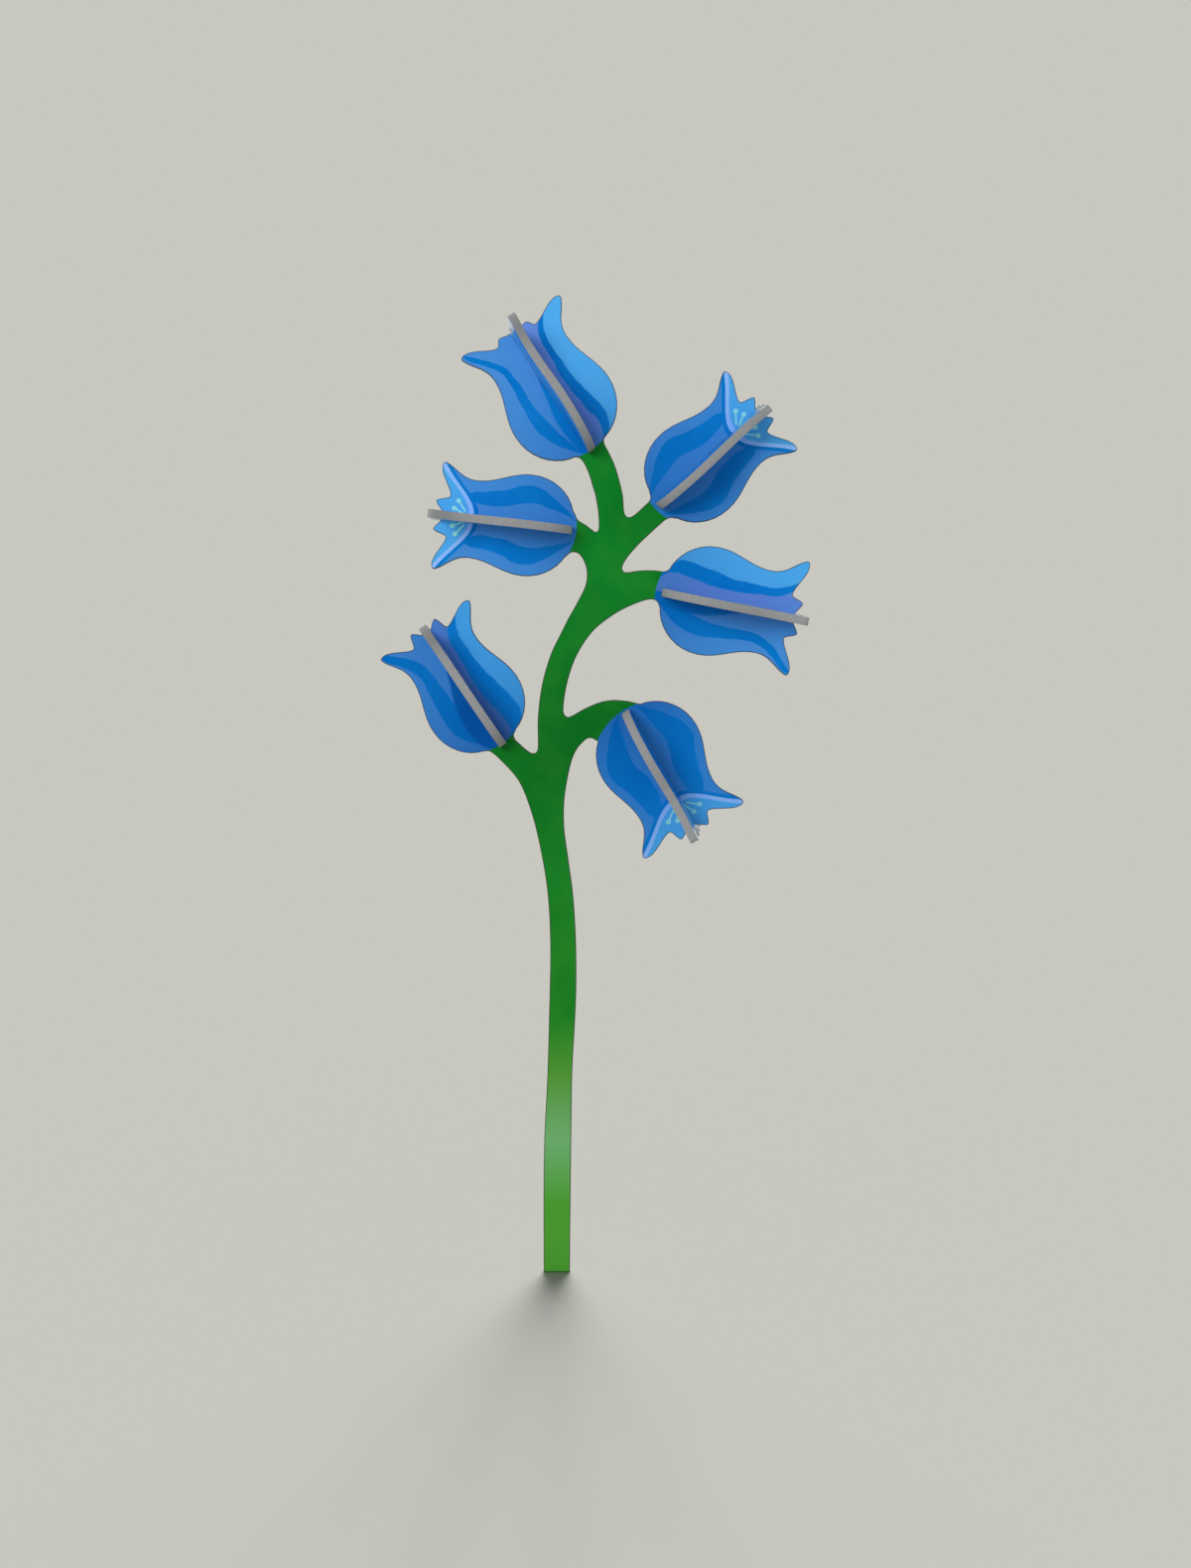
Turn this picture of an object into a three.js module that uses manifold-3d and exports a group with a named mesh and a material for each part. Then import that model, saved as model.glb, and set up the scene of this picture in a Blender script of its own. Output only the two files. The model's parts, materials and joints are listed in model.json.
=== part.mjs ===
// A standing bellflower ornament of slotted sheet metal: one flat sheet holds the branching stem and six bell
// faces, and every bell is made full by a plate of the same outline that slots across its face.
// Millimetres, +Z up, front towards -Y. The origin is the middle of the stem's square-cut foot.

import * as THREE from 'three';
import { mergeVertices } from 'three/addons/utils/BufferGeometryUtils.js';
import Module from 'manifold-3d';

const wasm = await Module();
wasm.setup();

// Sheet stock, the gap in a slot, the width of the stem's foot, and the height at which the stem first forks
const SHEET = 4;
const CLEARANCE = 0.3;
const FOOT_WIDTH = 12.7;
const FORK_HEIGHT = 240;

// Bell outline at full size: half widths across the bell's axis, and distances along it from the neck
const NECK_HALF = 6.7;
const NECK_AT = 1;
const BELLY_HALF = 25.5;
const BELLY_AT = 23.7;
const WAIST_HALF = 19.5;
const WAIST_AT = 50.8;
const TIP_HALF = 27.4;
const TIP_AT = 67.8;
const NOTCH_HALF = 10.4;
const NOTCH_AT = 63;
const TOOTH_HALF = 7;
const DIP_AT = 64.8;

// How far the outline's curves sweep on as they leave and reach those stations
const SHOULDER_SWEEP = new THREE.Vector2(9.7, 1);
const BELLY_SWEEP_LOW = 12.6;
const BELLY_SWEEP_HIGH = 10.2;
const WAIST_SWEEP_LOW = 10.2;
const WAIST_SWEEP_HIGH = 7.3;
const TIP_FLARE = new THREE.Vector2(2.9, 6.7);
const TIP_RETURN = new THREE.Vector2(-5.8, 2.4);
const TIP_ROUND = 1.5;
const NOTCH_SWEEP_OUT = 3.8;
const NOTCH_SWEEP_IN = 1.4;
const TOOTH_SWEEP = 1.6;
const DIP_SWEEP = 1.6;

// Cross plates on a bell of full size: where their slot meets the face's slot, and where their own outline
// starts, lower on the axis than the face's neck
const SLOT_MEET = 34;
const CROSS_NECK_AT = -1.3;

// Place of each bell's neck on the sheet, with its height above the fork, direction of its axis, its length
// and width against the outline above, and how far along the outline its teeth reach. Then for its cross
// plate the lean, and how much further from the stem it sits than the face.
const BELLS = {
  top_left: {
    x: 16, rise: 157.6, angle: 122.8, long: 1.045, wide: 1.057, tooth: 66.2, lean: 4.5, seat: 0.6,
  },
  upper_right: {
    x: 49.4, rise: 131.3, angle: 42.7, long: 0.991, wide: 0.963, tooth: 69.7, lean: 5.5, seat: 0.5,
  },
  middle_left: {
    x: 8.5, rise: 118.7, angle: 173.5, long: 0.976, wide: 0.968, tooth: 69.7, lean: -1.5, seat: 2.5,
  },
  middle_right: {
    x: 50.2, rise: 89.3, angle: -11.2, long: 1, wide: 1.042, tooth: 68.8, lean: 2.5, seat: 2.1,
  },
  lower_left: {
    x: -26.7, rise: 15.9, angle: 124.2, long: 0.976, wide: 0.956, tooth: 69.7, lean: 3, seat: 0,
  },
  lower_right: {
    x: 33.3, rise: 32.1, angle: -60.5, long: 0.987, wide: 1.033, tooth: 68.9, lean: 4.5, seat: 1.8,
  },
};

// Edges of the stem in runs from bell to bell. Below the fork a pair is a point of the sheet, as x and z. The
// rest is measured up from the fork, or near a bell from its neck, across and along its axis, so that the
// stem follows the fork and the bells.
const LEFT_SIDE = [
  [-FOOT_WIDTH / 2, 0], [-6.4, 44], [-6, 66], [-4.6, 94.5], [-3.6, 130.5], [-3.2, 159.5],
  ...fromFork([-4.5, -56.5], [-7.5, -37.5], [-12.2, -18], [-18.5, -2.4]),
  ...fromNeck('lower_left', [-5, -7.1], [-6.2, -2], [-7.3, 0.2], [-9.5, 1.6], [-12, 4.2]),
];
const LOWER_LEFT_TO_MIDDLE_LEFT = [
  ...fromNeck('lower_left', [12, 4.2], [9.3, 1.5], [7.1, 0], [6.4, -2], [7.1, -5.7], [8.3, -10.2]),
  ...fromNeck('lower_left', [9.4, -12.3], [10.9, -13.1], [12.6, -12.3]),
  ...fromFork([-9.2, 18.7], [-9.3, 25], [-8.8, 33.1], [-7.2, 44.2], [-5, 52.8], [-2.1, 61], [1.6, 68.4]),
  ...fromFork([5.5, 76.2], [9.8, 83.9], [13.6, 91.6]),
  ...fromNeck('middle_left', [-21.5, -8.5], [-17.6, -7.8], [-14.1, -6.2], [-11.2, -3.8], [-10.3, -1.7]),
  ...fromNeck('middle_left', [-10.7, 0.5], [-12.6, 2.4], [-15.2, 4.8]),
];
const MIDDLE_LEFT_TO_TOP_LEFT = [
  ...fromNeck('middle_left', [11, 3.2], [8.4, 0.7], [6.2, -0.5], [4.9, -1.9], [3.4, -5.2], [1.5, -8.4]),
  ...fromNeck('middle_left', [0.6, -10.2], [1.2, -11.2], [2.5, -11.5], [5, -11.3]),
  ...fromFork([19.9, 128.2], [18.5, 136.3]),
  ...fromNeck('top_left', [-8.3, -15.2], [-6.9, -10.6], [-6, -5.9], [-5.8, -2.2]),
  ...fromNeck('top_left', [-6.5, 0.1], [-8.6, 1.7], [-11.5, 4]),
];
const TOP_LEFT_TO_UPPER_RIGHT = [
  ...fromNeck('top_left', [13, 4.2], [10.6, 2.2], [8.7, 0.8], [7.7, -1]),
  ...fromNeck('top_left', [7.3, -5], [6.4, -11.7], [4.7, -18.2]),
  ...fromFork([32, 135.4]),
  ...fromNeck('upper_right', [-9.4, -14.3], [-7.7, -15.2], [-6, -15.2], [-4.9, -14], [-4.4, -11.4]),
  ...fromNeck('upper_right', [-4.4, -5.9], [-4.5, -2.2], [-5.5, -0.5], [-7.9, 0.9], [-11, 3.2]),
];
const UPPER_RIGHT_TO_MIDDLE_RIGHT = [
  ...fromNeck('upper_right', [13, 4.2], [10.5, 1.6], [8.6, 0], [7.7, -2]),
  ...fromNeck('upper_right', [7.4, -6.4], [7.4, -13.4], [7.5, -19.8]),
  ...fromFork([35.3, 107.2]),
  ...fromNeck('middle_right', [-12.3, -19.2], [-9.1, -20.3], [-7, -20.2], [-5.9, -19], [-6.2, -17]),
  ...fromNeck('middle_right', [-7.7, -12.8], [-8.8, -8.6], [-9.6, -3.8], [-9.8, -0.6]),
  ...fromNeck('middle_right', [-10.7, 1.3], [-12.8, 3], [-15.3, 5.6]),
];
const MIDDLE_RIGHT_TO_LOWER_RIGHT = [
  ...fromNeck('middle_right', [10, 3.4], [7.5, 0.9], [5.6, -0.2], [4.6, -1.9], [4.7, -4]),
  ...fromNeck('middle_right', [6.2, -7.5], [9.2, -12.3], [12.7, -17], [16.6, -21.2]),
  ...fromFork([18.6, 71.2], [13.2, 64.4], [8.9, 56.7], [6, 48.5], [4.1, 40.3], [3.2, 32.8], [3.5, 30]),
  ...fromFork([5.2, 28.5], [7.4, 29.2], [13.1, 32.4], [21.2, 35.8]),
  ...fromNeck('lower_right', [3.1, -7.1], [-0.1, -5.1], [-3.2, -2.9], [-6, -0.3], [-7.7, 1.2]),
  ...fromNeck('lower_right', [-10.5, 3.4]),
];
const RIGHT_SIDE = [
  ...fromNeck('lower_right', [17.2, 8.3], [19.7, 6.2], [20.7, 4.4], [22.5, 3.2]),
  ...fromFork([12.8, 16.5], [9.8, 13], [7.5, 8.2], [5.1, -1.9], [3.6, -12.5], [3.6, -25.4], [5.6, -40.3]),
  ...fromFork([7.9, -57.6]),
  [9.3, 159.4], [9.4, 135.4], [8.8, 121], [7.5, 97], [7, 63.4], [6.5, 22.6], [FOOT_WIDTH / 2, 0],
];

// Steps to a curve of a bell, steps between two points of a stem run, and a cutter's reach past what it cuts
const CURVE_STEPS = 9;
const RUN_STEPS = 4;
const OVERCUT = 3;

const GREEN_PAINT = { color: 0x1f7a26, roughness: 0.42, metalness: 0.1 };
const BLUE_PAINT = { color: 0x2a74c4, roughness: 0.32, metalness: 0.1 };

// Carries a bell's own axes, X across its face and Z along its axis, to its place on the sheet
function bellPlace(bell) {
  const turn = Math.PI / 2 - THREE.MathUtils.degToRad(bell.angle);
  return new THREE.Matrix4().makeRotationY(turn).setPosition(bell.x, 0, FORK_HEIGHT + bell.rise);
}

// Pairs of x and height above the fork, as points of the sheet
function fromFork(...pairs) {
  return pairs.map(([x, rise]) => [x, FORK_HEIGHT + rise]);
}

// Pairs measured across and along a bell's axis, as points of the sheet
function fromNeck(name, ...pairs) {
  const place = bellPlace(BELLS[name]);
  return pairs.map(([across, along]) => {
    const point = new THREE.Vector3(across, 0, along).applyMatrix4(place);
    return [point.x, point.z];
  });
}

// Right half of a bell's outline, from the neck round the flared tip and the tooth to the dip on the axis
function halfBell(bell, neckAt) {
  const tip = new THREE.Vector2(TIP_HALF, TIP_AT);
  const flare = tip.clone().sub(TIP_FLARE);
  const flareEnd = tip.clone().addScaledVector(TIP_FLARE.clone().normalize(), -TIP_ROUND);
  const lip = tip.clone().add(TIP_RETURN);
  const lipStart = tip.clone().addScaledVector(TIP_RETURN.clone().normalize(), TIP_ROUND);
  const shoulder = new THREE.Vector2(NECK_HALF, neckAt).add(SHOULDER_SWEEP);
  const path = new THREE.Path();
  path.moveTo(NECK_HALF, neckAt);
  path.bezierCurveTo(shoulder.x, shoulder.y, BELLY_HALF, BELLY_AT - BELLY_SWEEP_LOW, BELLY_HALF, BELLY_AT);
  path.bezierCurveTo(
    BELLY_HALF, BELLY_AT + BELLY_SWEEP_HIGH,
    WAIST_HALF, WAIST_AT - WAIST_SWEEP_LOW,
    WAIST_HALF, WAIST_AT,
  );
  path.bezierCurveTo(WAIST_HALF, WAIST_AT + WAIST_SWEEP_HIGH, flare.x, flare.y, flareEnd.x, flareEnd.y);
  path.quadraticCurveTo(tip.x, tip.y, lipStart.x, lipStart.y);
  path.bezierCurveTo(lip.x, lip.y, NOTCH_HALF + NOTCH_SWEEP_OUT, NOTCH_AT, NOTCH_HALF, NOTCH_AT);
  path.bezierCurveTo(
    NOTCH_HALF - NOTCH_SWEEP_IN, NOTCH_AT,
    TOOTH_HALF + TOOTH_SWEEP, bell.tooth,
    TOOTH_HALF, bell.tooth,
  );
  path.bezierCurveTo(TOOTH_HALF - TOOTH_SWEEP, bell.tooth, DIP_SWEEP, DIP_AT, 0, DIP_AT);
  return path.getPoints(CURVE_STEPS);
}

// Whole outline of a bell that starts at the given neck
function bellOutline(bell, neckAt) {
  const right = halfBell(bell, neckAt);
  const left = right.slice(0, -1).reverse().map((point) => new THREE.Vector2(-point.x, point.y));
  return [...right, ...left].map((point) => new THREE.Vector2(point.x * bell.wide, point.y * bell.long));
}

// Points of a stem run joined by a smooth curve
function smoothRun(run) {
  const points = run.map(([x, z]) => new THREE.Vector3(x, z, 0));
  const curve = new THREE.CatmullRomCurve3(points, false, 'centripetal');
  return curve.getPoints(RUN_STEPS * (run.length - 1)).map((point) => new THREE.Vector2(point.x, point.y));
}

// A point well inside a bell, where the stem's outline turns from one run to the next out of sight
function insideBell(name) {
  const [[x, z]] = fromNeck(name, [0, BELLY_AT / 2]);
  return new THREE.Vector2(x, z);
}

function stemOutline() {
  return [
    ...smoothRun(LEFT_SIDE), insideBell('lower_left'),
    ...smoothRun(LOWER_LEFT_TO_MIDDLE_LEFT), insideBell('middle_left'),
    ...smoothRun(MIDDLE_LEFT_TO_TOP_LEFT), insideBell('top_left'),
    ...smoothRun(TOP_LEFT_TO_UPPER_RIGHT), insideBell('upper_right'),
    ...smoothRun(UPPER_RIGHT_TO_MIDDLE_RIGHT), insideBell('middle_right'),
    ...smoothRun(MIDDLE_RIGHT_TO_LOWER_RIGHT), insideBell('lower_right'),
    ...smoothRun(RIGHT_SIDE),
  ];
}

// A flat plate of the given outline, standing in the XZ plane with its middle at Y = 0
function plate(outline) {
  const geometry = new THREE.ExtrudeGeometry(new THREE.Shape(outline), { depth: SHEET, bevelEnabled: false });
  geometry.translate(0, 0, -SHEET / 2);
  geometry.rotateX(Math.PI / 2);
  return geometry;
}

function solid(geometry) {
  const bare = geometry.clone();
  bare.deleteAttribute('normal');
  bare.deleteAttribute('uv');
  const merged = mergeVertices(bare);
  const vertProperties = new Float32Array(merged.attributes.position.array);
  const triVerts = new Uint32Array(merged.index.array);
  return new wasm.Manifold(new wasm.Mesh({ numProp: 3, vertProperties, triVerts }));
}

function namedMesh(name, body, paint) {
  const { vertProperties, triVerts } = body.getMesh();
  const geometry = new THREE.BufferGeometry();
  geometry.setAttribute('position', new THREE.BufferAttribute(new Float32Array(vertProperties), 3));
  geometry.setIndex(new THREE.BufferAttribute(new Uint32Array(triVerts), 1));
  geometry.computeVertexNormals();
  const mesh = new THREE.Mesh(geometry, new THREE.MeshStandardMaterial(paint));
  mesh.name = name;
  return mesh;
}

// Width of a square-walled slot that lets a leaning plate through
function slotWidth(bell) {
  const lean = THREE.MathUtils.degToRad(Math.abs(bell.lean));
  return SHEET / Math.cos(lean) + SHEET * Math.tan(lean) + 2 * CLEARANCE;
}

// Cutter for a slot on a bell's axis, from one distance along it to another
function slotCutter(bell, from, to) {
  const box = new THREE.BoxGeometry(slotWidth(bell), SHEET + 2 * OVERCUT, to - from);
  box.translate(0, 0, (from + to) / 2);
  return box;
}

// Stem and bell faces in one sheet, each face slotted from its mouth down to the meeting point
function flowerSheet() {
  let sheet = solid(plate(stemOutline()));
  for (const bell of Object.values(BELLS)) {
    const place = bellPlace(bell);
    const slot = slotCutter(bell, bell.long * SLOT_MEET, bell.long * bell.tooth + OVERCUT);
    sheet = sheet.add(solid(plate(bellOutline(bell, NECK_AT)).applyMatrix4(place)));
    sheet = sheet.subtract(solid(slot.applyMatrix4(place)));
  }
  return namedMesh('flower_sheet', sheet, GREEN_PAINT);
}

// Plate across a bell's face, slotted from its neck up to the meeting point
function crossPetal(name, bell) {
  const slotEnd = bell.long * SLOT_MEET + CLEARANCE - bell.seat;
  const slot = slotCutter(bell, bell.long * CROSS_NECK_AT - OVERCUT, slotEnd);
  const body = solid(plate(bellOutline(bell, CROSS_NECK_AT))).subtract(solid(slot));
  const mesh = namedMesh(`${name}_cross_petal`, body, BLUE_PAINT);
  mesh.position.z = bell.seat;
  mesh.rotation.z = THREE.MathUtils.degToRad(bell.lean) - Math.PI / 2;
  const group = new THREE.Group();
  group.add(mesh);
  group.applyMatrix4(bellPlace(bell));
  return group;
}

const flower = new THREE.Group();
flower.add(flowerSheet());
for (const [name, bell] of Object.entries(BELLS)) {
  flower.add(crossPetal(name, bell));
}

export default flower;
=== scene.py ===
import json
import math

import bmesh
import bpy
import numpy as np
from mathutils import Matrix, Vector


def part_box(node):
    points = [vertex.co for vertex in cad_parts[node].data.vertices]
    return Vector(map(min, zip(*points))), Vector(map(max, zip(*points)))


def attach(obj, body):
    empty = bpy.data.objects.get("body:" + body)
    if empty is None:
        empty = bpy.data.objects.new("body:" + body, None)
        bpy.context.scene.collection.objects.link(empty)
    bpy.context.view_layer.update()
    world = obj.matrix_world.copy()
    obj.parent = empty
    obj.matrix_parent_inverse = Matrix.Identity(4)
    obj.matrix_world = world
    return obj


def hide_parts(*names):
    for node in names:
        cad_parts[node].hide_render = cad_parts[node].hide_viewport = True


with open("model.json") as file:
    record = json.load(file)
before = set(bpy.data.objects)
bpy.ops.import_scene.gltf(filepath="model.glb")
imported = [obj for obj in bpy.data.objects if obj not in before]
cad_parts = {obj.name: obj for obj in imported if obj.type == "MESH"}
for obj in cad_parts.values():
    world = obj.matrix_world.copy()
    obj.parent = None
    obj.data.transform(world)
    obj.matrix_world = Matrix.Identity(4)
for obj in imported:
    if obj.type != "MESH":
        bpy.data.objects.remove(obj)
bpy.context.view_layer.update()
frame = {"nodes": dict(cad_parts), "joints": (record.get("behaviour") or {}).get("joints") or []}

MM = 0.001

# Plates: stock, rounding of their edges, how much longer a cross plate is than the face that it crosses, and
# the gap that is left in view where two plates cross
SHEET = 4 * MM
SHEET_RIM = 0.5 * MM
PETAL_RIM = 0.2 * MM
RIM_STEPS = 2
RIM_PROFILE = 0.5
LONGER = 2.3 * MM
SEEN_GAP = 0.08 * MM

# Clearing up a copied solid: points closer than this are one, flatter angles are flat, sharper ones corners
SAME_POINT = 0.05 * MM
FLAT_ANGLE = math.radians(0.2)
CORNER_ANGLE = math.radians(35)

# Finding a slot: no other corner of a plate lies this near its axis on the slot's part of its length, which
# is past the first share in a face, and up to the second in a cross plate
SLOT_SEARCH = 4 * MM
FACE_SLOT_FROM = 0.25
PETAL_SLOT_TO = 0.75

# Material slots of every plate
PAINT, SCORCH, CUT = 0, 1, 2

# Each bell, along its axis: how far the face's neck lies from the cross plate's, and where on the face its
# blue starts. Then its painting: open mouth or closed, the side painted light, and how deep its blues are
BELLS = {
    "top_left": dict(neck=1.8 * MM, base=-1.3 * MM, open=0, light=1, depth=0.0),
    "upper_right": dict(neck=1.78 * MM, base=-3.7 * MM, open=1, light=1, depth=0.45),
    "middle_left": dict(neck=-0.26 * MM, base=-2 * MM, open=1, light=1, depth=0.2),
    "middle_right": dict(neck=0.2 * MM, base=-3.4 * MM, open=0, light=-1, depth=0.35),
    "lower_left": dict(neck=2.24 * MM, base=-1.3 * MM, open=0, light=1, depth=1.0),
    "lower_right": dict(neck=0.47 * MM, base=-1.3 * MM, open=1, light=1, depth=0.85),
}

# Where the paint of a bell is parted from the stem's: ends of a line across the stem, from the bell's neck,
# across and along its axis
NECK_LINE = [(-7 * MM, -6 * MM), (7 * MM, -6 * MM)]
SIDE_NECK_LINE = [(1 * MM, -6 * MM), (21.5 * MM, 4 * MM)]
SIDE_NECKED = ("lower_right",)

# Painting of a bell in shares of its length and half width: the bulge of the line where blue starts, and a
# reach that takes in the outermost edge of the mouth. On a cross plate that line lies well below the neck.
# The stem has a place of its own, below every bell
BASE_BULGE = 0.2
BELL_REACH = 1.06
PLATE_BASE = -3 * MM
STEM_PLACE = Vector((0, -1, 0))

# Camera: the photograph's frame, the point that it looks at squarely, and its distance from the sheet
FRAME_WIDTH_PX = 1200
FRAME_HEIGHT_PX = 1580
PIXEL = 0.48 * MM
FOOT_PX = (561, 1282)
AIM_PX = (600, 640)
CAMERA_DISTANCE = 1.008
SENSOR = 36

# Light: from all round as a share of the floor's light. On the flower a dome of soft lamps, a key, and fills
# from the side and the back. On the floor a low row of lamps behind, brightest in the middle
AMBIENT = 0.2
AIM = Vector((0.02, 0, 0.25))
LAMP_DISTANCE = 3.0
LAMP_SIZE = 1.6
KEY_FROM = Vector((-0.64, -1.0, 0.45))
KEY_POWER = 58
SIDE_FROM = Vector((1.0, -0.2, 0.1))
SIDE_POWER = 17
BACK_FROM = Vector((0.6, 1.0, 0.4))
BACK_POWER = 46
DOME_LAMPS = 14
DOME_LEVEL = 0.24
DOME_SPREAD = math.radians(60)
ROW_HEIGHT = math.radians(16)
ROW_STEP = math.radians(8)
ROW_STEPS = range(-3, 4)
ROW_FADE = math.radians(10)
ROW_TURN = math.radians(3)
ROW_SPREAD = math.radians(15)
FLOOR_REACH = 60


def linear(red, green, blue):
    """A colour written in screen values from 0 to 255, as a shader takes it."""
    parts = [value / 255 for value in (red, green, blue)]
    return tuple(p / 12.92 if p <= 0.04045 else ((p + 0.055) / 1.055) ** 2.4 for p in parts) + (1.0,)


WHITE = (1.0, 1.0, 1.0, 1.0)
BACKDROP = linear(200, 200, 192)

# Paints of the bells
SKY_BLUE = linear(80, 168, 232)
WASH_BLUE = linear(36, 158, 232)
MID_BLUE = linear(72, 138, 210)
VIOLET_BLUE = linear(102, 138, 214)
DEEP_BLUE = linear(0, 115, 198)
DARK_BLUE = linear(0, 78, 154)
LIP_BLUE = linear(146, 188, 250)
MINT = linear(150, 226, 224)
# Painted highlight: pale paint at the mouth of a cross plate, standing for a glint of light there
GLINT_BLUE = linear(224, 230, 235)

# Half width of a bell by the share of the way to its mouth, as a share of the widest, and the widest as a
# share of its length
BELL_OUTLINE = [
    (0, 0.25), (0.03, 0.5), (0.1, 0.72), (0.2, 0.87), (0.33, 0.93),
    (0.53, 0.82), (0.73, 0.71), (0.85, 0.81), (0.98, 1.0), (1, 1.0),
]
WIDEST = 0.38

# Ribbons along a bell: middle and half width by the share of the way to its mouth, as shares of its half
# width there, and how soft their edges are
LIGHT_RIBBON = dict(
    middle=[(0, 0.72), (0.12, 0.62), (0.3, 0.46), (0.5, 0.42), (0.7, 0.5), (0.85, 0.5), (1, 0.62)],
    half=[(0, 0.08), (0.15, 0.12), (0.35, 0.11), (0.6, 0.09), (0.85, 0.07), (1, 0.03)],
    soft=0.015,
)
SHADED_RIBBON = dict(
    middle=[(0, 0.3), (0.2, 0.44), (0.45, 0.55), (0.7, 0.66), (0.9, 0.84), (1, 0.95)],
    half=[(0, 0.02), (0.2, 0.13), (0.45, 0.1), (0.7, 0.09), (0.9, 0.07), (1, 0.02)],
    soft=0.015,
)
# Partly painted shade: this fold darkens a closed bell's shaded half right beside its cross plate, where
# shade falls
FOLD_AND_SHADE = dict(
    middle=[(0, 0.0), (1, 0.0)],
    half=[(0, 0.3), (0.15, 0.26), (0.4, 0.2), (0.6, 0.1), (0.75, 0.0), (1, 0.0)],
    soft=0.03,
)
OPEN_RIBBON = dict(
    middle=[(0, 0.4), (0.15, 0.5), (0.35, 0.62), (0.55, 0.54), (0.75, 0.6), (1, 0.7)],
    half=[(0, 0.0), (0.15, 0.1), (0.35, 0.15), (0.55, 0.16), (0.72, 0.12), (0.8, 0.0), (1, 0.0)],
    soft=0.015,
)

# Softness of the other edges in a bell's painting
BASE_SOFT = 0.003
HALVES_SOFT = 0.002
PANEL_SOFT = 0.01
LIP_SOFT = 0.004
STAMEN_SOFT = 0.003

# Mouth of an open bell: the lip's line by the share of the way to the side, the paints beyond it with their
# distances from that line, and the stamens on each side, strokes that end in a dot
LIP_LINE = [(0, 0.745), (0.2, 0.755), (0.4, 0.8), (0.6, 0.865), (0.8, 0.93), (1, 0.985)]
LIP_PAINTS = [(-0.05, DEEP_BLUE), (-0.018, LIP_BLUE), (0.016, SKY_BLUE)]
STAMENS = [((0.02, 0.78, 0), (0.062, 0.87, 0)), ((0.05, 0.79, 0), (0.118, 0.845, 0))]
STAMEN_HALF = 0.006
STAMEN_DOT = 0.017

# What a bell's depth does at its fullest: shares of a deeper blue in three paints, wider ribbons, and a dark
# tone over all that is partly painted shade, thinner on the light half of a closed bell
SKY_DEEPENS = 0.2
VIOLET_DEEPENS = 0.4
OPEN_DEEPENS = 0.4
RIBBONS_WIDEN = 0.8
DEPTH_TONE_AND_SHADE = 0.34
SHADE_SPARED = 0.2

# Brushwork: how far the ribbons' edges waver and a thin wash over a bell. Then how much darker a bell is
# made towards its base. A noise is written as its scale and detail
SHAKE_NOISE = (140.0, 6.0)
SHAKE = 0.07
WASH_NOISE = (38.0, 3.0)
WASH_SOFT = 0.2
WASH_SHARE = 0.16
BASE_DARKENING = [(0, 0.42), (0.2, 0.24), (0.45, 0.1), (0.75, 0.0), (1, 0.0)]

# Paint of the stem by height: lime at the foot, a pale stretch above it that is partly a painted reflection,
# and leaf green from there on, darker where it forks
LIME = linear(72, 150, 48)
# Partly a painted reflection: the pale green low on the stem stands for a sheen seen there
PALE_GREEN_AND_SHEEN = linear(104, 166, 106)
MOSS = linear(76, 143, 50)
WARM_LEAF = linear(32, 126, 34)
LEAF = linear(20, 121, 35)
DARK_LEAF = linear(12, 109, 31)
CROWN_LEAF = linear(10, 120, 36)
STEM_PAINT = [
    (0, LIME), (0.034, LIME), (0.064, PALE_GREEN_AND_SHEEN), (0.096, MOSS), (0.122, WARM_LEAF), (0.19, LEAF),
    (0.245, DARK_LEAF), (0.275, DARK_LEAF), (0.31, CROWN_LEAF), (0.4, CROWN_LEAF),
]

# Clouds in the leaf green from this height up: their noise, paint and share of it
SHADED_LEAF = linear(2, 92, 22)
SUNNY_LEAF = linear(58, 138, 40)
CLOUDS = [((34.0, 3.0), SHADED_LEAF, 0.3), ((55.0, 3.0), SUNNY_LEAF, 0.14)]
CLOUDS_FROM = 0.11
CLOUDS_FADE = 0.03
CLOUD_SOFT = 0.14

# Levels of a noise: its middle, and the level above which it is a wash or a cloud
NOISE_MIDDLE = 0.5
NOISE_EDGE = 0.52

# Enamel: how rough it is and how far that varies, its fine grain and its gloss, and a painted highlight, a
# pale glint painted on from a share of the way to the mouth on
ENAMEL_ROUGH = 0.12
ENAMEL_ROUGH_SPREAD = 0.14
ENAMEL_ROUGH_SCALE = 120.0
GRAIN_SCALE = 900.0
GRAIN_STRENGTH = 0.04
GRAIN_DEPTH = 0.2 * MM
ENAMEL_GLOSS = 0.04
GLINT_FROM = 0.93
GLINT_SOFT = 0.02
# How much of that painted highlight each plate gets
SHEET_GLINT = 0.0
PETAL_GLINT = 0.6

# Scorched paint at the sheet's rims: how strong it is at least and how far that varies
SCORCHED = linear(64, 58, 58)
SCORCH_LEAST = 0.5
SCORCH_SPREAD = 0.4
SCORCH_SCALE = 300.0
SCORCH_ROUGH = 0.5

# Cut metal: two greys by the level of its noise, drawn out into lines through the plate's thickness
METAL_GREYS = [(0.3, linear(134, 135, 137)), (0.7, linear(143, 144, 146))]
METAL_SCALE = 1800.0
METAL_STRETCH = (1.0, 1.0, 0.06)
METAL_ROUGH = 0.6
METAL_GLOSS = 0.2


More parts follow.
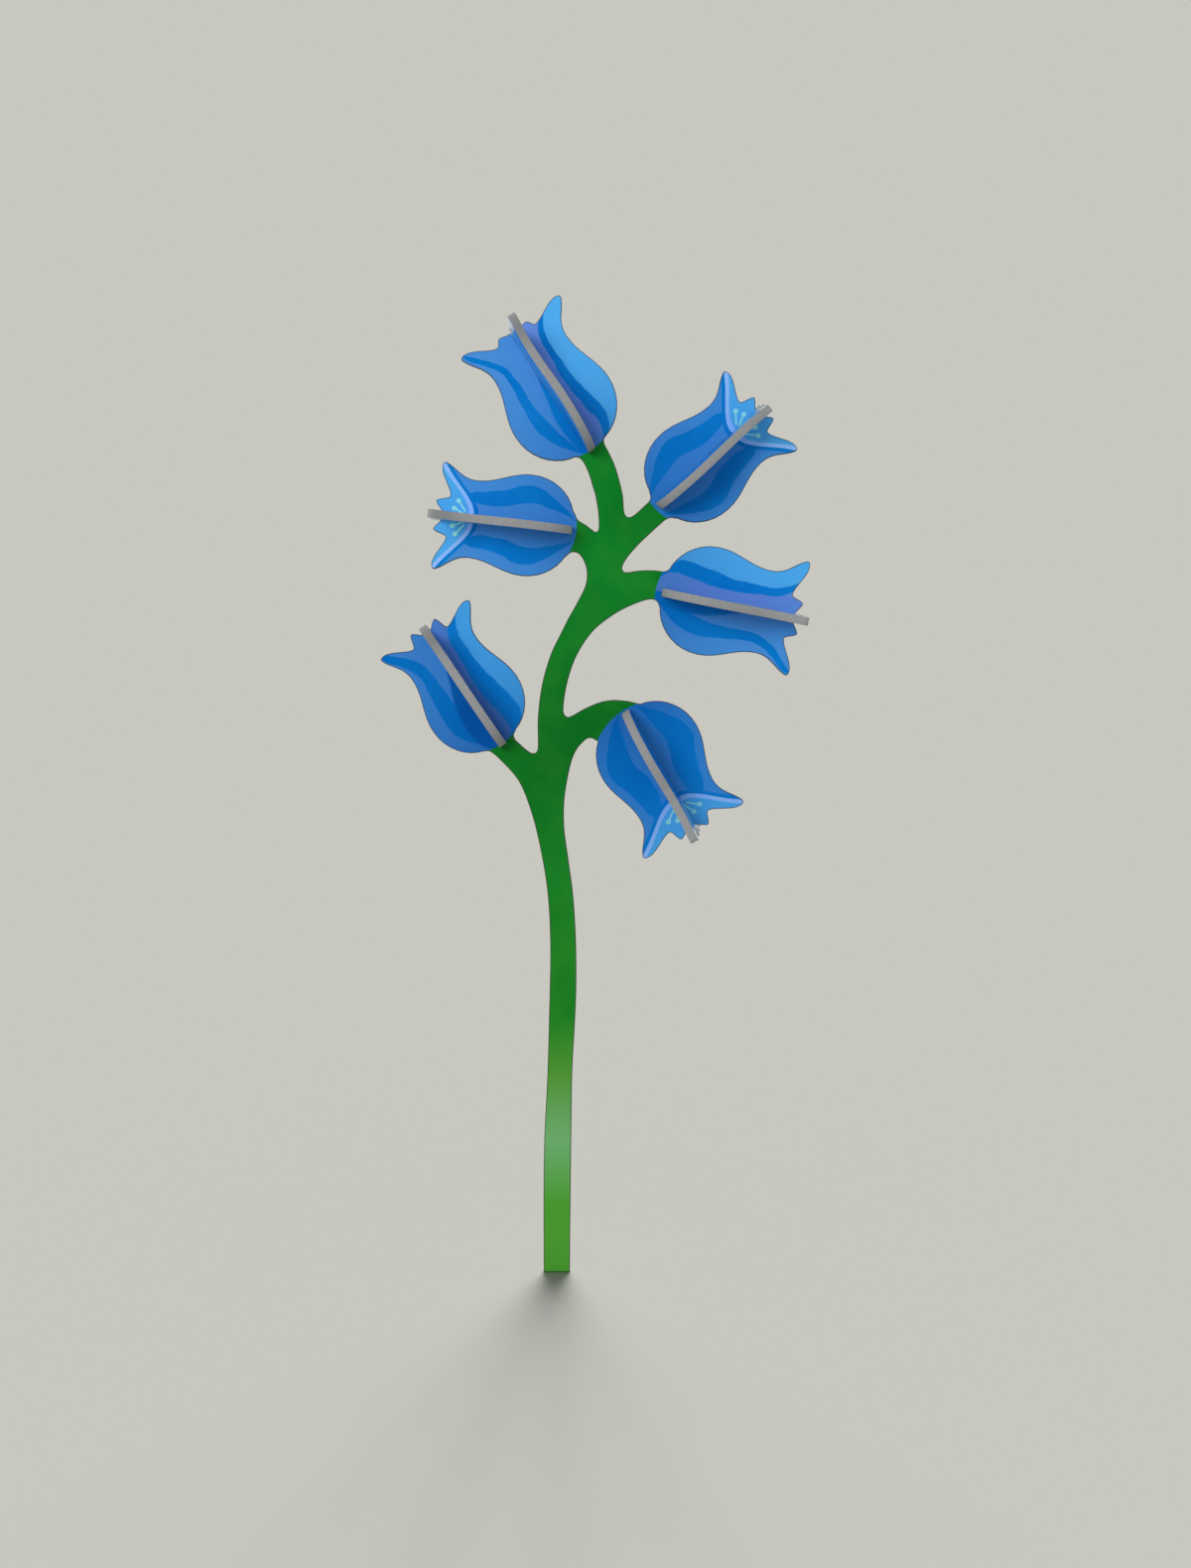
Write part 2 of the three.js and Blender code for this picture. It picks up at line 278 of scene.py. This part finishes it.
class Wiring:
    """Short calls that add and join the nodes of one material, or of the world."""

    # Sockets of a colour mix, by number because their names repeat
    SHARE, UNDER, OVER, MIXED = 0, 6, 7, 2

    def __init__(self, owner):
        self.owner = owner
        owner.use_nodes = True
        self.tree = owner.node_tree
        self.tree.nodes.clear()

    def feed(self, socket, value):
        if isinstance(value, bpy.types.NodeSocket):
            self.tree.links.new(value, socket)
        else:
            socket.default_value = value

    def add(self, kind, inputs=None, **settings):
        made = self.tree.nodes.new("ShaderNode" + kind)
        for key, value in settings.items():
            setattr(made, key, value)
        for key, value in (inputs or {}).items():
            self.feed(made.inputs[key], value)
        return made

    def attribute(self, name):
        return self.add("Attribute", attribute_name=name)

    def math(self, operation, *values):
        return self.add("Math", dict(enumerate(values)), operation=operation).outputs[0]

    def vector(self, operation, *values):
        return self.add("VectorMath", dict(enumerate(values)), operation=operation)

    def mix(self, share, under, over):
        inputs = {self.SHARE: share, self.UNDER: under, self.OVER: over}
        return self.add("Mix", inputs, data_type="RGBA").outputs[self.MIXED]

    def curve(self, value, points):
        """The height, at value, of a smooth line through the points."""
        made = self.add("FloatCurve", {"Value": value})
        line = made.mapping.curves[0].points
        while len(line) < len(points):
            line.new(1, 1)
        for spot, place in zip(line, points):
            spot.location = place
        made.mapping.update()
        return made.outputs[0]

    def above(self, value, edge, soft):
        """1 where value lies above edge and 0 below it, with a soft border."""
        gap = self.math("SUBTRACT", value, edge)
        limits = {"Value": gap, "From Min": -soft, "From Max": soft}
        return self.add("MapRange", limits, interpolation_type="SMOOTHSTEP").outputs[0]

    def ribbon(self, across, along, shape, widen):
        """1 inside a ribbon that runs along a petal."""
        off = self.math("ABSOLUTE", self.math("SUBTRACT", across, self.curve(along, shape["middle"])))
        half = self.math("MULTIPLY", self.curve(along, shape["half"]), widen)
        return self.above(half, off, shape["soft"])

    def dot(self, place, middle, half, soft):
        """1 on a round dot."""
        return self.above(half, self.vector("DISTANCE", place, middle).outputs["Value"], soft)

    def stroke(self, place, start, end, half, soft):
        """1 on a straight brush stroke between two points."""
        run = Vector(end) - Vector(start)
        offset = self.vector("SUBTRACT", place, start).outputs["Vector"]
        travel = self.vector("DOT_PRODUCT", offset, run).outputs["Value"]
        reach = self.math("DIVIDE", travel, run.length_squared)
        reach = self.math("MINIMUM", self.math("MAXIMUM", reach, 0.0), 1.0)
        foot = self.add("VectorMath", {0: run, "Scale": reach}, operation="SCALE").outputs["Vector"]
        return self.dot(offset, foot, half, soft)

    def noise(self, place, scale, detail=2.0):
        return self.add("TexNoise", {"Vector": place, "Scale": scale, "Detail": detail}).outputs["Fac"]

    def ramp(self, value, stops):
        made = self.add("ValToRGB", {"Fac": value})
        elements = made.color_ramp.elements
        while len(elements) < len(stops):
            elements.new(1)
        for element, (place, colour) in zip(elements, stops):
            element.position = place
            element.color = colour
        return made.outputs["Color"]

    def finish(self, **inputs):
        """Ends the material in a surface with the given inputs."""
        surface = self.add("BsdfPrincipled", {key.replace("_", " "): value for key, value in inputs.items()})
        self.add("OutputMaterial", {"Surface": surface.outputs[0]})
        return self.owner


class Bell:
    """Place and size of one bell, read from the joint and the plate of its cross petal."""

    def __init__(self, joint):
        self.body = joint["child"]
        self.name = self.body.removesuffix("_cross")
        self.node = self.name + "_cross_petal"
        self.axis = Vector(joint["axis"]).normalized()
        data = frame["nodes"][self.node].data
        self.plate_normal = max(data.polygons, key=lambda face: face.area).normal.copy()
        self.plate_across = self.plate_normal.cross(self.axis).normalized()
        points = np.array([vertex.co for vertex in data.vertices])
        along = points @ np.array(self.axis)
        flat = points - np.outer(along, np.array(self.axis))
        self.half_width = float(np.ptp(flat @ np.array(self.plate_across))) / 2
        self.length = float(np.ptp(along)) - LONGER
        self.face_across = Vector((self.axis.z, 0, -self.axis.x))
        self.plate_neck = Vector((flat.max(axis=0) + flat.min(axis=0)) / 2) + self.axis * float(along.min())
        self.look = BELLS[self.name]
        self.face_neck = self.plate_neck + self.axis * self.look["neck"]

    def on_face(self, point):
        """Distances across and along the bell's face, from its neck."""
        offset = point - self.face_neck
        return offset.dot(self.face_across), offset.dot(self.axis)

    def on_plate(self, point):
        """Distances across and along the cross plate, from its neck."""
        offset = point - self.plate_neck
        return offset.dot(self.plate_across), offset.dot(self.axis)

    def paint_place(self, across, along, base, end):
        """Where a point lies on the painting, in shares of the half width and of the way to the mouth."""
        side = self.look["light"] * across / self.half_width
        return Vector((side, (along - base) / (end - base), self.look["open"]))

    def face_paint(self, point):
        return self.paint_place(*self.on_face(point), self.look["base"], self.length)

    def plate_paint(self, point):
        return self.paint_place(*self.on_plate(point), PLATE_BASE, self.length + LONGER)


bells = [Bell(joint) for joint in frame["joints"]]

# What the lamps for the flower and those for the floor shine on
flower_lit = bpy.data.collections.new("flower_lit")
floor_lit = bpy.data.collections.new("floor_lit")


def plate_copy(node):
    """A copy of a node's plate with one face a side, and one wall for each step of its outline."""
    solid = bmesh.new()
    solid.from_mesh(frame["nodes"][node].data)
    bmesh.ops.remove_doubles(solid, verts=solid.verts, dist=SAME_POINT)
    bmesh.ops.dissolve_limit(solid, angle_limit=FLAT_ANGLE, verts=solid.verts, edges=solid.edges)
    side = max(solid.faces, key=lambda face: face.calc_area())
    mesh = bmesh.new()
    near = [mesh.verts.new(vertex.co) for vertex in side.verts]
    far = [mesh.verts.new(vertex.co - side.normal * SHEET) for vertex in side.verts]
    solid.free()
    mesh.faces.new(near)
    mesh.faces.new(far[::-1])
    for step in range(len(near)):
        mesh.faces.new((near[step], near[step - 1], far[step - 1], far[step]))
    mesh.normal_update()
    return mesh


def slot_corners(mesh, place, start, end):
    """Corners of the slot on the axis of a bell's plate, between two distances along it."""
    corners = []
    for vertex in mesh.verts:
        across, along = place(vertex.co)
        if abs(across) < SLOT_SEARCH and start < along < end:
            corners.append((abs(across), vertex))
    nearest = min(across for across, _ in corners)
    return [vertex for across, vertex in corners if across < nearest + SAME_POINT]


def close_face_slot(mesh, bell):
    """Brings the walls of the slot in a bell's face up to the plate that goes through it."""
    lean = bell.plate_across.dot(bell.face_across) / bell.plate_across.y
    half = SHEET / 2 * math.hypot(1, lean) + SEEN_GAP
    mouth = bell.length + SLOT_SEARCH
    corners = slot_corners(mesh, bell.on_face, bell.length * FACE_SLOT_FROM, mouth)
    for vertex in corners:
        across = bell.on_face(vertex.co)[0]
        target = vertex.co.y * lean + math.copysign(half, across)
        vertex.co += bell.face_across * (target - across)
    return corners


def close_petal_slot(mesh, bell):
    """Brings the walls of the slot in a cross plate up to the sheet that goes through it."""
    corners = slot_corners(mesh, bell.on_plate, -SLOT_SEARCH, bell.length * PETAL_SLOT_TO)
    for vertex in corners:
        target = math.copysign(SHEET / 2 + SEEN_GAP, vertex.co.y)
        vertex.co += bell.plate_across * ((target - vertex.co.y) / bell.plate_across.y)
    return corners


def two_largest(mesh):
    return sorted(mesh.faces, key=lambda face: face.calc_area())[-2:]


def round_rims(mesh, slots, width, material):
    """Rounds the rims of a plate's two painted faces, apart from its slots. Returns the two faces."""
    painted = two_largest(mesh)
    for face in mesh.faces:
        face.material_index = PAINT if face in painted else CUT
        face.smooth = face not in painted
    in_slot = set(slots)
    rims = {edge for face in painted for edge in face.edges if not in_slot.issuperset(edge.verts)}
    bmesh.ops.bevel(
        mesh, geom=list(rims), offset=width, offset_type="OFFSET", segments=RIM_STEPS, profile=RIM_PROFILE,
        affect="EDGES", clamp_overlap=False, loop_slide=True, material=material,
    )
    for edge in mesh.edges:
        edge.smooth = edge.calc_face_angle(0) < CORNER_ANGLE
    return two_largest(mesh)


def nearest_corner(face, bell, target):
    """The corner of a face that lies nearest to a place on a bell's face."""
    def gap(vertex):
        across, along = bell.on_face(vertex.co)
        return math.hypot(across - target[0], along - target[1])

    return min(face.verts, key=gap)


def part_bells(painted):
    """Parts each painted side of the sheet at the bells' necks. Returns each bell's faces with the bell."""
    parts = []
    for side in painted:
        stem = side
        for bell in bells:
            line = SIDE_NECK_LINE if bell.name in SIDE_NECKED else NECK_LINE
            ends = [nearest_corner(stem, bell, target) for target in line]
            other = bmesh.utils.face_split(stem, *ends)[0]
            middle = bell.face_neck + bell.axis * bell.length / 2
            cut_off = min(stem, other, key=lambda face: (face.calc_center_bounds() - middle).length)
            stem = other if cut_off is stem else stem
            parts.append((cut_off, bell))
    return parts


def bell_at(point):
    """The bell that a point on the sheet's edge belongs to, if any."""
    for bell in bells:
        across, along, _ = bell.face_paint(point)
        if max(abs(across), along) < BELL_REACH and along > BASE_BULGE * across**2:
            return bell
    return None


def mark_plate(mesh, across, along, normal):
    """Writes every point's place in its plate: across, along and through it."""
    layer = mesh.verts.layers.float_vector.new("plate")
    for vertex in mesh.verts:
        vertex[layer] = Vector((vertex.co.dot(across), vertex.co.dot(along), vertex.co.dot(normal)))


def mark_painting(mesh, owners, paint_of):
    """Writes every corner's place in the painting of the bell that owns its face, or on the stem."""
    bell_layer = mesh.loops.layers.float_vector.new("bell")
    depth_layer = mesh.loops.layers.float.new("depth")
    for face, bell in owners:
        for loop in face.loops:
            if bell is None:
                loop[bell_layer] = STEM_PLACE
            else:
                loop[bell_layer] = paint_of(bell, loop.vert.co)
                loop[depth_layer] = bell.look["depth"]


def dressed(name, mesh, materials, node, body):
    """Makes a finished piece of the mesh, in place of its node."""
    data = bpy.data.meshes.new(name)
    mesh.to_mesh(data)
    mesh.free()
    for material in materials:
        data.materials.append(material)
    piece = bpy.data.objects.new(name, data)
    bpy.context.scene.collection.objects.link(piece)
    flower_lit.objects.link(piece)
    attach(piece, body)
    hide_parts(node)


def make_sheet(materials):
    mesh = plate_copy("flower_sheet")
    slots = [corner for bell in bells for corner in close_face_slot(mesh, bell)]
    painted = round_rims(mesh, slots, SHEET_RIM, SCORCH)
    owner_of = dict(part_bells(painted))
    for face in owner_of:
        face.material_index = PAINT
        face.smooth = False
    edges = (face for face in mesh.faces if face.material_index != PAINT)
    owner_of.update((face, bell_at(face.calc_center_median())) for face in edges)
    mark_painting(mesh, [(face, owner_of.get(face)) for face in mesh.faces], Bell.face_paint)
    mark_plate(mesh, Vector((1, 0, 0)), Vector((0, 0, 1)), Vector((0, 1, 0)))
    dressed("painted_sheet", mesh, materials, "flower_sheet", "sheet")


def make_cross_petal(bell, materials):
    mesh = plate_copy(bell.node)
    round_rims(mesh, close_petal_slot(mesh, bell), PETAL_RIM, CUT)
    mark_painting(mesh, [(face, bell) for face in mesh.faces], Bell.plate_paint)
    mark_plate(mesh, bell.plate_across, bell.axis, bell.plate_normal)
    dressed("painted_" + bell.name + "_petal", mesh, materials, bell.node, bell.body)


def closed_bell_colour(wire, light_side, side, along, depth, widen):
    """Painting of a bell seen from outside: a light and a shaded half, with darker folds, the one beside the
    cross plate partly painted shade.
    """
    sky = wire.mix(wire.math("MULTIPLY", depth, SKY_DEEPENS), SKY_BLUE, DEEP_BLUE)
    violet = wire.mix(wire.math("MULTIPLY", depth, VIOLET_DEEPENS), VIOLET_BLUE, DARK_BLUE)
    fold_and_shade = wire.mix(depth, DEEP_BLUE, DARK_BLUE)
    outer = wire.above(side, wire.curve(along, LIGHT_RIBBON["middle"]), PANEL_SOFT)
    light_half = wire.mix(outer, violet, sky)
    light_half = wire.mix(wire.ribbon(side, along, LIGHT_RIBBON, widen), light_half, DEEP_BLUE)
    shaded_half = wire.mix(wire.ribbon(side, along, SHADED_RIBBON, widen), MID_BLUE, DEEP_BLUE)
    shaded_half = wire.mix(wire.ribbon(side, along, FOLD_AND_SHADE, widen), shaded_half, fold_and_shade)
    return wire.mix(light_side, shaded_half, light_half)


def open_bell_colour(wire, across, side, along, depth, widen):
    """Painting of a bell with a pale lip, its inside above the lip and stamens there."""
    fill = wire.mix(wire.math("MULTIPLY", depth, OPEN_DEEPENS), MID_BLUE, DEEP_BLUE)
    colour = wire.mix(wire.ribbon(side, along, OPEN_RIBBON, widen), fill, DEEP_BLUE)
    away = wire.math("ABSOLUTE", across)
    lip = wire.curve(away, LIP_LINE)
    for distance, paint in LIP_PAINTS:
        colour = wire.mix(wire.above(along, wire.math("ADD", lip, distance), LIP_SOFT), colour, paint)
    place = wire.add("CombineXYZ", {"X": wire.math("MULTIPLY", away, WIDEST), "Y": along}).outputs["Vector"]
    for start, end in STAMENS:
        colour = wire.mix(wire.stroke(place, start, end, STAMEN_HALF, STAMEN_SOFT), colour, MINT)
        colour = wire.mix(wire.dot(place, end, STAMEN_DOT, STAMEN_SOFT), colour, MINT)
    return colour


def bell_colour(wire, place, across, along, open_mouth):
    """Blues of a bell, brushed on by hand: washes, slightly uneven edges and a darker base, with a dark tone
    by depth that is partly painted shade.
    """
    depth = wire.attribute("depth").outputs["Fac"]
    waver = wire.math("SUBTRACT", wire.noise(place, *SHAKE_NOISE), NOISE_MIDDLE)
    side = wire.math("ABSOLUTE", wire.math("MULTIPLY_ADD", waver, SHAKE, across))
    side = wire.math("DIVIDE", side, wire.curve(along, BELL_OUTLINE))
    widen = wire.math("MULTIPLY_ADD", depth, RIBBONS_WIDEN, 1.0)
    light_side = wire.above(across, 0.0, HALVES_SOFT)
    closed_bell = closed_bell_colour(wire, light_side, side, along, depth, widen)
    open_bell = open_bell_colour(wire, across, side, along, depth, widen)
    blue = wire.mix(open_mouth, closed_bell, open_bell)
    wash = wire.above(wire.noise(place, *WASH_NOISE), NOISE_EDGE, WASH_SOFT)
    blue = wire.mix(wire.math("MULTIPLY", wash, WASH_SHARE), blue, WASH_BLUE)
    # Partly painted shade: a dark tone by depth, lighter on a closed bell's light half, over the darkening
    # towards the base
    light_half = wire.math("MULTIPLY", light_side, wire.math("SUBTRACT", 1.0, open_mouth))
    darkening_and_shade = wire.math("MULTIPLY_ADD", light_half, -SHADE_SPARED, DEPTH_TONE_AND_SHADE)
    darkening_and_shade = wire.math("MULTIPLY_ADD", depth, darkening_and_shade, wire.curve(along, BASE_DARKENING))
    return wire.mix(darkening_and_shade, blue, DARK_BLUE)


def stem_colour(wire, place):
    """Greens of the stem by its height, with dark and sunny clouds."""
    height = wire.add("SeparateXYZ", {"Vector": place}).outputs["Z"]
    tallest = STEM_PAINT[-1][0]
    stops = [(at / tallest, colour) for at, colour in STEM_PAINT]
    green = wire.ramp(wire.math("DIVIDE", height, tallest), stops)
    leafy = wire.above(height, CLOUDS_FROM, CLOUDS_FADE)
    for noise, colour, share in CLOUDS:
        cloud = wire.above(wire.noise(place, *noise), NOISE_EDGE, CLOUD_SOFT)
        green = wire.mix(wire.math("MULTIPLY", wire.math("MULTIPLY", cloud, leafy), share), green, colour)
    return green


def painting_place(wire):
    """Where a point lies on its bell's painting, across and along, and whether that bell's mouth is open."""
    return wire.add("SeparateXYZ", {"Vector": wire.attribute("bell").outputs["Vector"]}).outputs


def enamel_colour(wire):
    """Colour of the paint: the bells' blues, and green wherever a point lies on no bell."""
    place = wire.add("TexCoord").outputs["Object"]
    across, along, open_mouth = painting_place(wire)
    base = wire.math("MULTIPLY", wire.math("POWER", across, 2.0), BASE_BULGE)
    green = stem_colour(wire, place)
    blue = bell_colour(wire, place, across, along, open_mouth)
    return wire.mix(wire.above(along, base, BASE_SOFT), green, blue)


def make_enamel(name, glint_share):
    """Satin enamel on the faces of the plates, with a painted highlight: pale paint at a bell's mouth that
    stands for a glint.
    """
    wire = Wiring(bpy.data.materials.new(name))
    place = wire.add("TexCoord").outputs["Object"]
    patches = wire.noise(place, ENAMEL_ROUGH_SCALE)
    rough = wire.math("MULTIPLY_ADD", patches, ENAMEL_ROUGH_SPREAD, ENAMEL_ROUGH)
    grain = {"Height": wire.noise(place, GRAIN_SCALE), "Strength": GRAIN_STRENGTH, "Distance": GRAIN_DEPTH}
    bumps = wire.add("Bump", grain).outputs["Normal"]
    _, along, _ = painting_place(wire)
    # Painted highlight: pale paint near the mouth, standing for a glint of light there
    glint = wire.math("MULTIPLY", wire.above(along, GLINT_FROM, GLINT_SOFT), glint_share)
    colour = wire.mix(glint, enamel_colour(wire), GLINT_BLUE)
    return wire.finish(Base_Color=colour, Roughness=rough, Specular_IOR_Level=ENAMEL_GLOSS, Normal=bumps)


def make_scorch():
    """Darkened paint that the cut leaves round every face of the sheet."""
    wire = Wiring(bpy.data.materials.new("scorched_rim"))
    place = wire.attribute("plate").outputs["Vector"]
    share = wire.math("MULTIPLY_ADD", wire.noise(place, SCORCH_SCALE), SCORCH_SPREAD, SCORCH_LEAST)
    colour = wire.mix(share, enamel_colour(wire), SCORCHED)
    return wire.finish(Base_Color=colour, Roughness=SCORCH_ROUGH, Specular_IOR_Level=ENAMEL_GLOSS)


def make_cut_metal():
    """Bare cut edge of the sheet, with fine lines that run through its thickness."""
    wire = Wiring(bpy.data.materials.new("cut_metal"))
    place = wire.attribute("plate").outputs["Vector"]
    stretched = wire.vector("MULTIPLY", place, METAL_STRETCH).outputs["Vector"]
    colour = wire.ramp(wire.noise(stretched, METAL_SCALE), METAL_GREYS)
    return wire.finish(Base_Color=colour, Roughness=METAL_ROUGH, Specular_IOR_Level=METAL_GLOSS)


def make_floor():
    mesh = bpy.data.meshes.new("floor")
    reach = FLOOR_REACH
    corners = [(-reach, -reach, 0), (reach, -reach, 0), (reach, reach, 0), (-reach, reach, 0)]
    mesh.from_pydata(corners, [], [(0, 1, 2, 3)])
    floor = bpy.data.objects.new("floor", mesh)
    bpy.context.scene.collection.objects.link(floor)
    floor_lit.objects.link(floor)
    wire = Wiring(bpy.data.materials.new("pale_floor"))
    surface = wire.add("BsdfDiffuse", {"Color": BACKDROP})
    wire.add("OutputMaterial", {"Surface": surface.outputs[0]})
    mesh.materials.append(wire.owner)


def make_world():
    """Even light from all round, with the backdrop's colour where the world is seen."""
    world = bpy.data.worlds.new("studio")
    bpy.context.scene.world = world
    wire = Wiring(world)
    rays = wire.add("LightPath").outputs
    seen = wire.math("MAXIMUM", rays["Is Camera Ray"], rays["Is Glossy Ray"])
    seen = wire.math("MAXIMUM", seen, rays["Is Transmission Ray"])
    light = wire.add("Background", {"Color": WHITE, "Strength": AMBIENT})
    backdrop = wire.add("Background", {"Color": BACKDROP})
    choice = wire.add("MixShader", {0: seen, 1: light.outputs[0], 2: backdrop.outputs[0]})
    wire.add("OutputWorld", {"Surface": choice.outputs[0]})


def make_lamp(name, kind, source, energy, lit):
    """A lamp that shines from the side of source on one collection of objects, shaded by the flower alone.

    Only the wide suns show in the gloss, because an area lamp would leave a hard glare there.
    """
    lamp = bpy.data.lights.new(name, kind)
    lamp.energy = energy
    lamp_object = bpy.data.objects.new(name, lamp)
    lamp_object.location = AIM + source.normalized() * LAMP_DISTANCE
    lamp_object.rotation_euler = source.to_track_quat("Z", "Y").to_euler()
    lamp_object.light_linking.receiver_collection = lit
    lamp_object.light_linking.blocker_collection = flower_lit
    lamp_object.visible_glossy = kind == "SUN"
    bpy.context.scene.collection.objects.link(lamp_object)
    return lamp


def all_round(count):
    """Directions spread evenly all round, on a spiral that turns by the golden angle."""
    golden_angle = math.pi * (3 - math.sqrt(5))
    for step in range(count):
        height = 1 - (2 * step + 1) / count
        reach = math.sqrt(1 - height**2)
        turn = golden_angle * step
        yield Vector((reach * math.cos(turn), reach * math.sin(turn), height))


def make_lights():
    """A dome, a soft key from the left and two fills on the flower, and a row of lamps on the floor."""
    for source in all_round(DOME_LAMPS):
        energy = DOME_LEVEL * 4 * math.pi / DOME_LAMPS
        make_lamp("dome_lamp", "SUN", source, energy, flower_lit).angle = DOME_SPREAD
    soft_lamps = {
        "key": (KEY_FROM, KEY_POWER),
        "side_fill": (SIDE_FROM, SIDE_POWER),
        "back_fill": (BACK_FROM, BACK_POWER),
    }
    for name, (source, power) in soft_lamps.items():
        lamp = make_lamp(name, "AREA", source, power, flower_lit)
        lamp.shape = "DISK"
        lamp.size = LAMP_SIZE
    shares = [math.exp(-((step * ROW_STEP / ROW_FADE) ** 2) / 2) for step in ROW_STEPS]
    energy = (1 - AMBIENT) * math.pi / math.sin(ROW_HEIGHT) / sum(shares)
    for step, share in zip(ROW_STEPS, shares):
        turn = ROW_TURN + step * ROW_STEP
        source = Vector((math.sin(turn), math.cos(turn), math.tan(ROW_HEIGHT)))
        make_lamp("floor_lamp", "SUN", source, energy * share, floor_lit).angle = ROW_SPREAD


def make_camera():
    """The photograph's own view, square to the sheet and shifted to its frame."""
    camera = bpy.data.cameras.new("camera")
    camera.sensor_width = SENSOR
    camera.lens = SENSOR * CAMERA_DISTANCE / (FRAME_HEIGHT_PX * PIXEL)
    camera.shift_x = (FRAME_WIDTH_PX / 2 - AIM_PX[0]) / FRAME_HEIGHT_PX
    camera.shift_y = (AIM_PX[1] - FRAME_HEIGHT_PX / 2) / FRAME_HEIGHT_PX
    camera_object = bpy.data.objects.new("camera", camera)
    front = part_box("flower_sheet")[0].y
    camera_object.location = (
        (AIM_PX[0] - FOOT_PX[0]) * PIXEL,
        front - CAMERA_DISTANCE,
        (FOOT_PX[1] - AIM_PX[1]) * PIXEL,
    )
    camera_object.rotation_euler = (math.pi / 2, 0, 0)
    bpy.context.scene.collection.objects.link(camera_object)
    bpy.context.scene.camera = camera_object


make_camera()
make_world()
make_lights()
make_floor()
edge_materials = [make_scorch(), make_cut_metal()]
make_sheet([make_enamel("sheet_enamel", SHEET_GLINT)] + edge_materials)
petal_materials = [make_enamel("petal_enamel", PETAL_GLINT)] + edge_materials
for each_bell in bells:
    make_cross_petal(each_bell, petal_materials)

bpy.context.scene.view_settings.view_transform = "Standard"
